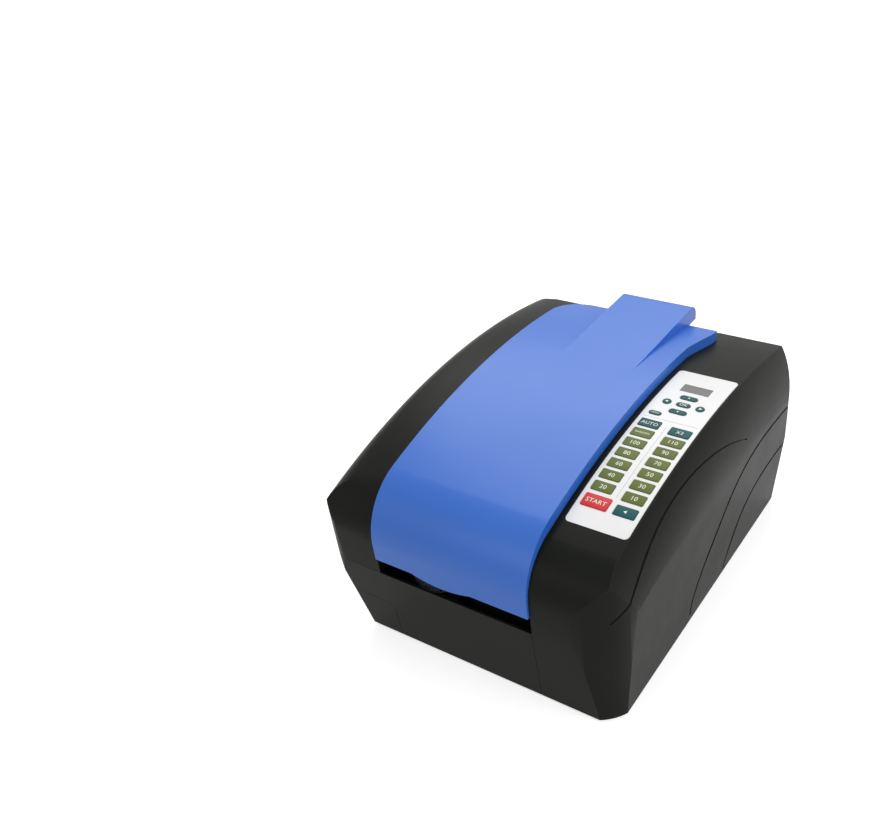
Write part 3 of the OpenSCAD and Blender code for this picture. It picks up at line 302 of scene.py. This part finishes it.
keyPlastic = {"rough": (0.30, 0.42), "grain": 0.008 * mm, "grainScale": 3000, "cloudScale": 60}
inkFilm = {"grain": 0.004 * mm, "grainScale": 4000, "cloudScale": 90}
mouldedLooks = {
    "blackHousing": {
        "dark": (0.0072, 0.0082, 0.0060), "light": (0.0104, 0.0118, 0.0088), "worn": (0.050, 0.053, 0.046),
        "rough": (0.30, 0.38), "grain": 0.012 * mm, "grainScale": 2600, "cloudScale": 7, "specular": 0.08,
    },
    "blueLid": {
        "dark": (0.030, 0.148, 0.600), "light": (0.037, 0.163, 0.640), "worn": (0.09, 0.25, 0.73),
        "rough": (0.29, 0.34), "grain": 0.005 * mm, "grainScale": 2200, "cloudScale": 4, "specular": 0.42,
    },
    "blackRubber": {
        "dark": (0.010, 0.010, 0.010), "light": (0.022, 0.022, 0.022),
        "rough": (0.72, 0.88), "grain": 0.05 * mm, "grainScale": 1400, "cloudScale": 30, "specular": 0.3,
    },
    "greyRubber": {
        "dark": (0.10, 0.10, 0.10), "light": (0.16, 0.155, 0.15),
        "rough": (0.6, 0.8), "grain": 0.04 * mm, "grainScale": 1500, "cloudScale": 40, "specular": 0.35,
    },
    "whitePlastic": {
        "dark": (0.66, 0.65, 0.60), "light": (0.76, 0.75, 0.71), "worn": (0.82, 0.81, 0.78),
        "rough": (0.34, 0.46), "grain": 0.02 * mm, "grainScale": 1800, "cloudScale": 20, "soft": 0.05,
    },
    "darkPlastic": {
        "dark": (0.022, 0.023, 0.026), "light": (0.040, 0.041, 0.045), "worn": (0.10, 0.10, 0.11),
        "rough": (0.38, 0.52), "grain": 0.03 * mm, "grainScale": 1800, "cloudScale": 18,
    },
    "gearPlastic": {
        "dark": (0.66, 0.60, 0.45), "light": (0.74, 0.69, 0.55), "worn": (0.80, 0.77, 0.68),
        "rough": (0.34, 0.48), "grain": 0.015 * mm, "grainScale": 2000, "cloudScale": 30, "soft": 0.05,
    },
    "bottlePlastic": {
        "dark": (0.72, 0.80, 0.88), "light": (0.80, 0.87, 0.93),
        "rough": (0.12, 0.24), "grain": 0.02 * mm, "grainScale": 300, "cloudScale": 12, "clear": 0.8,
    },
    "overlayFilm": {
        "dark": (0.80, 0.80, 0.795), "light": (0.85, 0.85, 0.85),
        "rough": (0.30, 0.40), "grain": 0.010 * mm, "grainScale": 3200, "cloudScale": 12,
    },
    "oliveKey": {
        "dark": (0.095, 0.128, 0.012), "light": (0.115, 0.155, 0.017), "worn": (0.17, 0.22, 0.05),
        "specular": 0.2, **keyPlastic,
    },
    "tealKey": {
        "dark": (0.003, 0.075, 0.080), "light": (0.005, 0.095, 0.100), "worn": (0.03, 0.14, 0.14),
        "specular": 0.15, **keyPlastic,
    },
    "redKey": {
        "dark": (0.58, 0.006, 0.010), "light": (0.70, 0.010, 0.014), "worn": (0.75, 0.06, 0.06),
        "specular": 0.3, **keyPlastic,
    },
    "redCap": {
        "dark": (0.50, 0.010, 0.012), "light": (0.62, 0.018, 0.020), "worn": (0.70, 0.08, 0.07),
        "rough": (0.32, 0.46), "grain": 0.015 * mm, "grainScale": 1800, "cloudScale": 30,
    },
    "keyInk": {"dark": (0.80, 0.82, 0.66), "light": (0.86, 0.88, 0.74), "rough": (0.40, 0.55), **inkFilm},
    "lineInk": {"dark": (0.38, 0.38, 0.38), "light": (0.46, 0.46, 0.46), "rough": (0.45, 0.60), **inkFilm},
    "displayGlass": {
        "dark": (0.045, 0.048, 0.047), "light": (0.058, 0.062, 0.060),
        "rough": (0.16, 0.24), "grain": 0.002 * mm, "grainScale": 900, "cloudScale": 25, "coat": 0.1,
    },
    "circuitFilm": {
        "dark": (0.36, 0.26, 0.08), "light": (0.46, 0.34, 0.12),
        "rough": (0.35, 0.50), "grain": 0.02 * mm, "grainScale": 800, "cloudScale": 50,
    },
    "boardGreen": {
        "dark": (0.010, 0.085, 0.030), "light": (0.016, 0.120, 0.045),
        "rough": (0.28, 0.42), "grain": 0.04 * mm, "grainScale": 700, "cloudScale": 60, "coat": 0.3,
    },
    "motorPaint": {
        "dark": (0.050, 0.052, 0.056), "light": (0.080, 0.082, 0.088), "worn": (0.25, 0.25, 0.26),
        "rough": (0.34, 0.50), "grain": 0.04 * mm, "grainScale": 900, "cloudScale": 30,
    },
    "castPlate": {
        "dark": (0.085, 0.090, 0.098), "light": (0.125, 0.130, 0.140), "worn": (0.32, 0.33, 0.34),
        "rough": (0.45, 0.62), "grain": 0.10 * mm, "grainScale": 700, "cloudScale": 25,
    },
    "brushHair": {
        "dark": (0.16, 0.11, 0.055), "light": (0.34, 0.25, 0.14),
        "rough": (0.55, 0.75), "grain": 0.03 * mm, "grainScale": 2500, "cloudScale": 260,
    },
}
machinedLooks = {
    "brightSteel": {
        "dark": (0.50, 0.51, 0.52), "light": (0.66, 0.67, 0.68),
        "rough": (0.18, 0.34), "streaks": (40, 900, 900), "scratch": 0.01 * mm,
    },
    "bladeSteel": {
        "dark": (0.56, 0.57, 0.59), "light": (0.72, 0.73, 0.75),
        "rough": (0.14, 0.30), "streaks": (900, 60, 60), "scratch": 0.01 * mm,
    },
    "zincSteel": {
        "dark": (0.40, 0.42, 0.43), "light": (0.60, 0.61, 0.60),
        "rough": (0.32, 0.50), "streaks": (300, 90, 300), "scratch": 0.02 * mm,
    },
    "brass": {
        "dark": (0.55, 0.38, 0.13), "light": (0.76, 0.56, 0.24),
        "rough": (0.22, 0.40), "streaks": (500, 500, 500), "scratch": 0.01 * mm,
    },
}
finish = {name: moulded(name, look) for name, look in mouldedLooks.items()}
finish.update({name: machined(name, look) for name, look in machinedLooks.items()})
print("finishes made:", len(finish))

# The CAD nodes that have each finish. All others have the spare one: the rubber feet, and the
# key nodes, which don't show because caps stand for them
finishNodes = {
    "brightSteel": ["lid_hinge_pin", "tie_rods", "cradle_shafts", "feed_roller"],
    "zincSteel": ["left_frame_plate", "right_frame_plate", "hinge_bracket", "power_supply", "cover_screws"],
    "bladeSteel": ["fixed_blade", "moving_blade"],
    "whitePlastic": ["front_cradle_roller", "rear_cradle_roller"],
    "darkPlastic": ["left_roll_guide", "right_roll_guide", "water_tank", "power_socket"],
    "greyRubber": ["pressure_roller"],
    "gearPlastic": ["feed_gear"],
    "brass": ["motor_pinion"],
    "motorPaint": ["feed_motor", "cutter_solenoid"],
    "castPlate": ["weight_plate"],
    "bottlePlastic": ["water_bottle"],
    "redCap": ["bottle_cap", "power_rocker"],
    "overlayFilm": ["keypad_overlay"],
    "circuitFilm": ["keypad_circuit"],
    "displayGlass": ["display_window"],
    "boardGreen": ["control_board"],
    "brushHair": ["water_brushes"],
    "blackHousing": ["base_pan", "rear_panel", "front_panel", "left_cover", "right_cover"],
    "blueLid": ["lid"],
}
spareFinish = "blackRubber"
nodeFinish = {node: name for name, nodes in finishNodes.items() for node in nodes}
for node, piece in frame["nodes"].items():
    piece.data.materials.clear()
    piece.data.materials.append(finish[nodeFinish.get(node, spareFinish)])
print("CAD nodes finished:", len(frame["nodes"]))

# Moulded shells of the housing. Short edges, as along the grooves, hold all of these roundings
# but the rear panel's below 0.1 mm
shells = {
    "right_cover": {"name": "rightCoverShell", "round": 0.7 * mm, "steps": 3},
    "left_cover": {"name": "leftCoverShell", "round": 0.7 * mm, "steps": 3},
    "front_panel": {"name": "frontPanelShell", "round": 0.7 * mm, "steps": 3},
    "rear_panel": {"name": "rearPanelShell", "round": 0.6 * mm, "steps": 3},
    "base_pan": {"name": "basePanShell", "round": 0.5 * mm, "steps": 2},
}
for node, shell in shells.items():
    shape = nodeShape(node)
    roundEdges(shape, shell["round"], shell["steps"])
    addPiece(shell["name"], shape, [finish["blackHousing"]], bodyOf(node), [node], even=True)
print("shells rounded:", len(shells))

# The rounding asked for on the lid's outer face, which short edges hold below 0.1 mm, and where
# that face lies
lid = {
    "round": 4.5 * mm, "steps": 6, "sharper": 30, "near": 0.4 * mm,
    "rise": 12 * mm, "noseY": -0.1555, "noseZ": 0.1476, "noseRadius": 72 * mm,
    "frontY": -0.2275, "lowerEdge": 0.127, "aboveEdge": 1.5 * mm,
}


# How far a point lies outside the housing's long arc
def aboveHousing(point):
    return math.hypot(point.y - crown["crestY"], point.z - crown["top"] + crown["radius"]) - crown["radius"]


# True for an edge of the lid's outer face: its long top, its nose or its front
def onLidOutside(edge):
    middle = (edge.verts[0].co + edge.verts[1].co) / 2
    if middle.y > lid["noseY"]:
        return aboveHousing(middle) > lid["rise"] - lid["near"]
    if middle.z > lid["noseZ"]:
        out = math.hypot(middle.y - lid["noseY"], middle.z - lid["noseZ"])
        return out > lid["noseRadius"] - lid["near"]
    return middle.y < lid["frontY"] + lid["near"] and middle.z > lid["lowerEdge"] + lid["aboveEdge"]


shape = nodeShape("lid")
roundEdges(shape, lid["round"], lid["steps"], lid["sharper"], onLidOutside)
addPiece("lidShell", shape, [finish["blueLid"]], bodyOf("lid"), ["lid"], even=True)
print("lid rounded")

# Keys, with sizes in millimetres; a mark is an arrow, turned from the right by degrees
olive = {"finish": "oliveKey", "slot": "olive_key", "size": (23.5, 12.8), "corner": 1.5, "tall": 5.2}
teal = {"finish": "tealKey", "slot": "teal_key", "size": (23.5, 12.8), "corner": 1.5, "tall": 4.6}
red = {"finish": "redKey", "slot": "red_key", "size": (29, 16.5), "corner": 2, "tall": 5.2}
arrow = {"finish": "tealKey", "slot": "teal_key", "size": (9.5, 9.5), "corner": 4.7, "tall": 4.4}
bar = {"finish": "tealKey", "slot": "teal_key", "size": (20, 7.5), "corner": 3.7, "tall": 3.2}
keys = {
    "key_random": {**olive, "words": "RANDOM", "tall": 2.5},
    "key_auto": {**teal, "words": "AUTO"},
    "key_x2": {**teal, "words": "X2"},
    "key_start": {**red, "words": "START"},
    "key_feed": {**teal, "mark": 180},
    "key_up": {**bar, "mark": 90},
    "key_ok": {**bar, "size": (16, 7.5), "words": "OK", "tall": 4.2},
    "key_down": {**bar, "mark": -90},
    "key_left": {**arrow, "mark": 180},
    "key_right": {**arrow, "mark": 0},
    "key_menu": {**bar, "size": (14, 6.5), "corner": 3.2, "words": "MENU", "tall": 2.3},
}
tapeLengths = range(10, 120, 10)
for length in tapeLengths:
    keys[f"key_{length}"] = {**olive, "words": str(length)}
keyForm = {"high": 1.6 * mm, "cornerSteps": 7, "rim": 0.4 * mm, "rimSteps": 3, "weld": 0.005 * mm}
ink = {
    "thick": 0.2 * mm, "proud": 0.04 * mm,  # most of its thickness is sunk in the key
    "spacing": 1.05, "capShare": 0.7, "curveSteps": 3, "weld": 0.002 * mm,
}


# Raised lettering, centred on the origin and lying in X and Y
def letters(words, tall):
    curve = bpy.data.curves.new("letters", "FONT")
    curve.body = words
    curve.size = tall / ink["capShare"]
    curve.extrude = ink["thick"] / 2
    curve.resolution_u = ink["curveSteps"]
    curve.space_character = ink["spacing"]
    curve.align_x = "CENTER"
    holder = bpy.data.objects.new("letters", curve)
    bpy.context.scene.collection.objects.link(holder)
    bpy.context.view_layer.update()
    mesh = bpy.data.meshes.new_from_object(holder.evaluated_get(bpy.context.evaluated_depsgraph_get()))
    bpy.data.objects.remove(holder)
    bpy.data.curves.remove(curve)
    shape = bmesh.new()
    shape.from_mesh(mesh)
    bpy.data.meshes.remove(mesh)
    bmesh.ops.remove_doubles(shape, verts=shape.verts, dist=ink["weld"])
    low = min(v.co.y for v in shape.verts)
    high = max(v.co.y for v in shape.verts)
    bmesh.ops.translate(shape, verts=shape.verts, vec=(0, -(low + high) / 2, 0))
    return shape


# A flat three-sided arrow head that points along X, then turned
def arrowMark(size, turn):
    shape = bmesh.new()
    bmesh.ops.create_cone(shape, cap_ends=True, segments=3, radius1=size / 2, radius2=size / 2,
                          depth=ink["thick"])
    for angle in (-90, turn):
        bmesh.ops.rotate(shape, verts=shape.verts, cent=(0, 0, 0),
                         matrix=Matrix.Rotation(math.radians(angle), 3, "Z"))
    return shape


# A key with round corners and a soft rim, its top at z 0
def keyCap(key):
    wide, deep = (side * mm for side in key["size"])
    shape = boxShape((wide, deep, keyForm["high"]))
    bmesh.ops.translate(shape, verts=shape.verts, vec=(0, 0, -keyForm["high"] / 2))
    upright = [e for e in shape.edges if abs(e.verts[0].co.z - e.verts[1].co.z) > keyForm["high"] / 2]
    bevelEdges(shape, upright, key["corner"] * mm, keyForm["cornerSteps"])
    bmesh.ops.remove_doubles(shape, verts=shape.verts, dist=keyForm["weld"])
    top = max(shape.faces, key=lambda face: face.calc_center_median().z)
    bevelEdges(shape, list(top.edges), keyForm["rim"], keyForm["rimSteps"])
    return shape


inkPlace = Matrix.Translation((0, 0, ink["proud"] - ink["thick"] / 2))
for node, key in keys.items():
    low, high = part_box(node)
    middle = (low + high) / 2
    shape = keyCap(key)
    if "words" in key:
        joinInto(shape, letters(key["words"], key["tall"] * mm), inkPlace, 1)
    if "mark" in key:
        joinInto(shape, arrowMark(key["tall"] * mm, key["mark"]), inkPlace, 1)
    stand = Matrix.Translation(middle) @ Matrix.Rotation(crownTilt(middle.y), 4, "X")
    raised = stand @ Matrix.Translation((0, 0, keyForm["high"] / 2))
    bmesh.ops.transform(shape, verts=shape.verts, matrix=raised)
    addPiece(node.replace("key_", "key") + "Cap", shape, [finish[key["finish"]], finish["keyInk"]],
             bodyOf(node), [node])
print("keys made:", len(keys))

# Lines printed on the keypad: one across, and one down that follows the crown in steps
padLines = {
    "wide": 0.5 * mm, "thick": 0.06 * mm, "lift": -0.37 * mm,
    "acrossX": (0.0965, 0.1585), "acrossY": 0.0049, "acrossSteps": 1,
    "downX": 0.1277, "downY": (-0.1175, -0.0045), "downSteps": 12,
}


# A strip without thickness that follows the crown
def crownStrip(left, right, front, back, steps):
    shape = bmesh.new()
    bmesh.ops.create_grid(shape, x_segments=1, y_segments=steps, size=0.5)
    for vert in shape.verts:
        x = left + (vert.co.x + 0.5) * (right - left)
        y = front + (vert.co.y + 0.5) * (back - front)
        vert.co = onCrown(x, y, padLines["lift"]).translation
    return shape


half = padLines["wide"] / 2
shape = crownStrip(*padLines["acrossX"], padLines["acrossY"] - half, padLines["acrossY"] + half,
                   padLines["acrossSteps"])
down = crownStrip(padLines["downX"] - half, padLines["downX"] + half, *padLines["downY"],
                  padLines["downSteps"])
joinInto(shape, down, Matrix.Identity(4))
bmesh.ops.solidify(shape, geom=list(shape.faces), thickness=padLines["thick"])
addPiece("keypadLines", shape, [finish["lineInk"]], "chassis")
print("keypad lines made")

# The two water brushes, each a holder with rows of tufts
brush = {
    "thick": 10 * mm, "holder": 46 * mm, "round": 0.8 * mm, "steps": 2,
    "rows": 3, "tufts": 26, "tuft": 1.5 * mm, "rootShare": 0.7, "sides": 8,
    "sunk": 1 * mm, "lean": 0.5 * mm, "seed": 7,
}


# One brush, its middle at y 0
def brushShape(low, high):
    size = Vector((high.x - low.x, brush["thick"], brush["holder"]))
    shape = boxShape(size)
    bmesh.ops.translate(shape, verts=shape.verts, vec=((low.x + high.x) / 2, 0, low.z + size.z / 2))
    roundEdges(shape, brush["round"], brush["steps"])
    chance = random.Random(brush["seed"])
    tall = high.z - low.z - brush["holder"] + brush["sunk"]
    inset = brush["tuft"] + brush["lean"]
    middleRow = (brush["rows"] - 1) / 2
    for row in range(brush["rows"]):
        y = (brush["thick"] / 2 - inset) * (row - middleRow) / middleRow
        for k in range(brush["tufts"]):
            x = low.x + inset + (size.x - 2 * inset) * k / (brush["tufts"] - 1)
            tuft = bmesh.new()
            bmesh.ops.create_cone(tuft, cap_ends=True, segments=brush["sides"], depth=tall,
                                  radius1=brush["tuft"] * brush["rootShare"], radius2=brush["tuft"])
            for vert in tuft.verts:
                if vert.co.z > 0:
                    vert.co.x += chance.uniform(-1, 1) * brush["lean"]
                    vert.co.y += chance.uniform(-1, 1) * brush["lean"]
                    vert.co.z -= chance.uniform(0, 1) * brush["lean"]
            joinInto(shape, tuft, Matrix.Translation((x, y, high.z - tall / 2)), 1)
    return shape


low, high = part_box("water_brushes")
shape = bmesh.new()
for y in (low.y + brush["thick"] / 2, high.y - brush["thick"] / 2):
    joinInto(shape, brushShape(low, high), Matrix.Translation((0, y, 0)))
addPiece("waterBrushes", shape, [finish["darkPlastic"], finish["brushHair"]], "chassis",
         ["water_brushes"])
print("brushes made")

# The pale room: the backdrop is seen white, and lights the machine at half of that
worldLook = {"light": 0.50, "seen": 1}
floorLook = {"size": 60, "tone": 0.80, "rough": 0.9, "specular": 0.1, "glow": 0.60, "shine": 0.35}
white = (1, 1, 1, 1)


# 1 for a ray of one of these kinds, and 0 for any other
def seenRay(nodes, links, kinds):
    rays = nodes.new("ShaderNodeLightPath")
    seen = rays.outputs[kinds[0]]
    for kind in kinds[1:]:
        seen = mathOf(nodes, links, "MAXIMUM", seen, rays.outputs[kind])
    return seen


def makeWorld():
    world = bpy.data.worlds.new("studio")
    world.use_nodes = True
    nodes, links = world.node_tree.nodes, world.node_tree.links
    backdrop = nodes["Background"]
    backdrop.inputs["Color"].default_value = white
    seen = seenRay(nodes, links, ("Is Camera Ray", "Is Glossy Ray", "Is Transmission Ray"))
    strength = spread(nodes, links, seen, (0, 1), (worldLook["light"], worldLook["seen"]))
    links.new(strength, backdrop.inputs["Strength"])
    bpy.context.scene.world = world


def makeFloor():
    shape = bmesh.new()
    bmesh.ops.create_grid(shape, x_segments=1, y_segments=1, size=floorLook["size"] / 2)
    material, nodes, links, shader = startFinish("paleFloor")
    tone = floorLook["tone"]
    shader.inputs["Base Color"].default_value = (tone, tone, tone, 1)
    shader.inputs["Roughness"].default_value = floorLook["rough"]
    shader.inputs["Specular IOR Level"].default_value = floorLook["specular"]
    shader.inputs["Emission Color"].default_value = white
    shine = mathOf(nodes, links, "MULTIPLY", seenRay(nodes, links, ("Is Glossy Ray",)), floorLook["shine"])
    straight = seenRay(nodes, links, ("Is Camera Ray", "Is Transmission Ray"))
    glow = mathOf(nodes, links, "MULTIPLY_ADD", straight, floorLook["glow"], shine)
    links.new(glow, shader.inputs["Emission Strength"])
    makeObject("floor", shape, [material])


lamps = {
    "softboxAbove": {"at": (-0.56, 1.0, 1.62), "aim": (0, 0.05, 0.15), "size": 1.5, "power": 18},
    "softboxRight": {"at": (1.5, -0.3, 1.0), "aim": (0, 0, 0.1), "size": 0.9, "power": 9},
    "softboxFront": {"at": (-0.4, -1.7, 1.0), "aim": (0, -0.1, 0.12), "size": 0.9, "power": 2.5},
}


def makeLamps():
    for name, look in lamps.items():
        light = bpy.data.lights.new(name, "AREA")
        light.size = look["size"]
        light.energy = look["power"]
        lamp = bpy.data.objects.new(name, light)
        lamp.location = look["at"]
        aim = Vector(look["aim"]) - Vector(look["at"])
        lamp.rotation_euler = aim.to_track_quat("-Z", "Y").to_euler()
        bpy.context.scene.collection.objects.link(lamp)


cameraLook = {
    "at": (0.5084, -0.8058, 0.8576), "near": 0.05, "far": 100,
    "yaw": 39.83, "pitch": 37.36, "roll": 8.56,  # in degrees
    "focal": 1023.1, "centre": (460, 480), "picture": (869, 834),  # in pixels
    "sensor": 36,  # in millimetres
}


def makeCamera():
    yaw, pitch, roll = (math.radians(cameraLook[k]) for k in ("yaw", "pitch", "roll"))
    ahead = Vector((-math.sin(yaw) * math.cos(pitch), math.cos(yaw) * math.cos(pitch), -math.sin(pitch)))
    level = Vector((math.cos(yaw), math.sin(yaw), 0))
    down = ahead.cross(level)
    right = math.cos(roll) * level + math.sin(roll) * down
    lower = -math.sin(roll) * level + math.cos(roll) * down
    wide, high = cameraLook["picture"]
    data = bpy.data.cameras.new("camera")
    data.sensor_width = cameraLook["sensor"]
    data.lens = cameraLook["focal"] / wide * data.sensor_width
    data.shift_x = (wide / 2 - cameraLook["centre"][0]) / wide
    data.shift_y = (cameraLook["centre"][1] - high / 2) / wide
    data.clip_start = cameraLook["near"]
    data.clip_end = cameraLook["far"]
    camera = bpy.data.objects.new("camera", data)
    turn = Matrix((right, -lower, -ahead)).transposed()
    camera.matrix_world = Matrix.Translation(cameraLook["at"]) @ turn.to_4x4()
    bpy.context.scene.collection.objects.link(camera)
    bpy.context.scene.camera = camera


makeWorld()
makeFloor()
makeLamps()
makeCamera()
bpy.context.scene.view_settings.view_transform = "Standard"
print("stage set")
